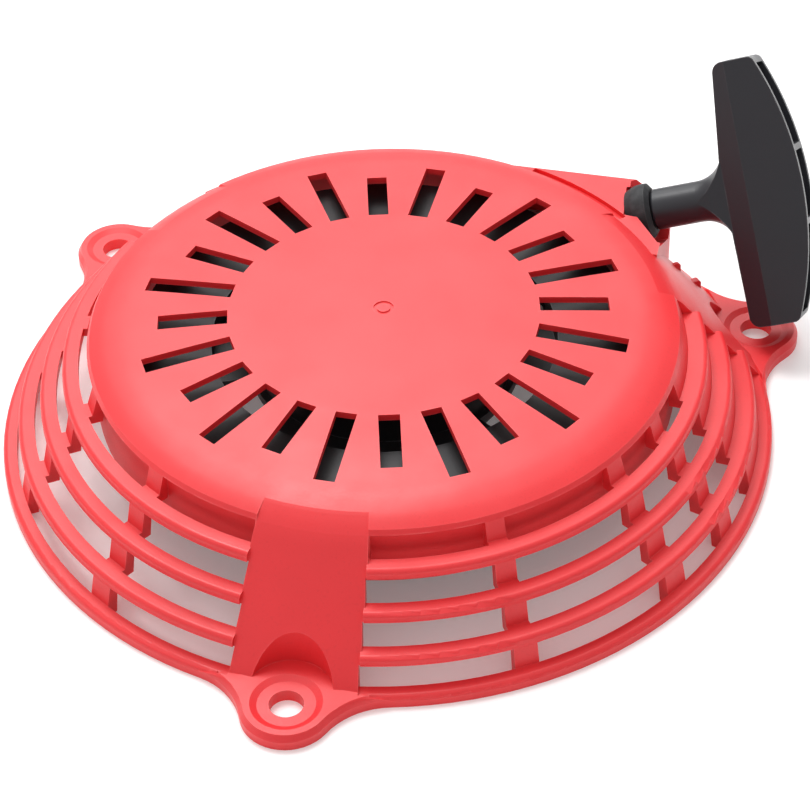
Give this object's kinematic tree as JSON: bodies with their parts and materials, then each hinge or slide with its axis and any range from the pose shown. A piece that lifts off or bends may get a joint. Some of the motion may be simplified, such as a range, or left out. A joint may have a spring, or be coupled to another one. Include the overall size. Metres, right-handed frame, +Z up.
{
  "type": "recoil starter",
  "caption": "Pull-rope starter for a small vertical-shaft engine: louvred round housing, sprung rope reel, swinging pawls and a T grip.",
  "frame": {"origin": "centre of the mounting face on the crank axis", "axes": "+Z up along the crank axis through the crown; -Y towards the front lug; +X towards the side the rope leaves"},
  "size_m": [0.197, 0.207, 0.0694],
  "materials": {
    "housing_plastic": "satin moulded red plastic",
    "insert_brass": "turned",
    "screw_steel": "zinc plated",
    "washer_steel": "stamped, lightly oiled",
    "reel_plastic": "moulded black plastic",
    "spring_steel": "blued spring steel, greased",
    "rope_fibre": "braided",
    "pawl_steel": "case hardened",
    "wire_steel": "bright wire",
    "guide_plastic": "moulded black plastic",
    "bush_rubber": "matt black",
    "grip_plastic": "satin black plastic"
  },
  "bodies": {
    "housing": {"housing": "housing_plastic", "centre_insert": "insert_brass", "setting_screw": "screw_steel", "thrust_washer": "washer_steel", "outlet_bush": "bush_rubber", "rope_lead": "rope_fibre"},
    "reel": {"reel": "reel_plastic", "recoil_spring": "spring_steel", "rope_coil": "rope_fibre", "rope_knot_reel": "rope_fibre", "pawl_spring_a": "wire_steel", "pawl_spring_b": "wire_steel"},
    "guide": {"ratchet_guide": "guide_plastic", "friction_spring": "wire_steel"},
    "pawl_a": {"pawl_a": "pawl_steel"},
    "pawl_b": {"pawl_b": "pawl_steel"},
    "grip": {"grip": "grip_plastic", "rope_tail": "rope_fibre", "grip_knot": "rope_fibre", "grip_washer": "washer_steel"}
  },
  "joints": [
    {"name": "reel_spin", "type": "hinge", "parent": "housing", "child": "reel", "pos_m": [0, 0, 0.0242], "axis": [0, 0, -1], "range_deg": [0, 990], "deforming": ["recoil_spring", "rope_coil"]},
    {"name": "grip_pull", "type": "slide", "parent": "housing", "child": "grip", "axis": [0.9501, 0.0831, 0.3007], "range_m": [0, 0.89]},
    {"name": "guide_turn", "type": "hinge", "parent": "reel", "child": "guide", "pos_m": [0, 0, 0.0091], "axis": [0, 0, 1], "range_deg": [0, 30]},
    {"name": "pawl_a_swing", "type": "hinge", "parent": "reel", "child": "pawl_a", "pos_m": [0.0205, 0, 0.0136], "axis": [0, 0, 1], "range_deg": [0, 28]},
    {"name": "pawl_b_swing", "type": "hinge", "parent": "reel", "child": "pawl_b", "pos_m": [-0.0205, 0, 0.0136], "axis": [0, 0, 1], "range_deg": [0, 28]}
  ],
  "couplings": [
    {"joint": "grip_pull", "follows": "reel_spin", "m_per_rad": 0.0515},
    {"joint": "pawl_a_swing", "follows": "guide_turn", "ratio": 0.9333},
    {"joint": "pawl_b_swing", "follows": "guide_turn", "ratio": 0.9333}
  ]
}
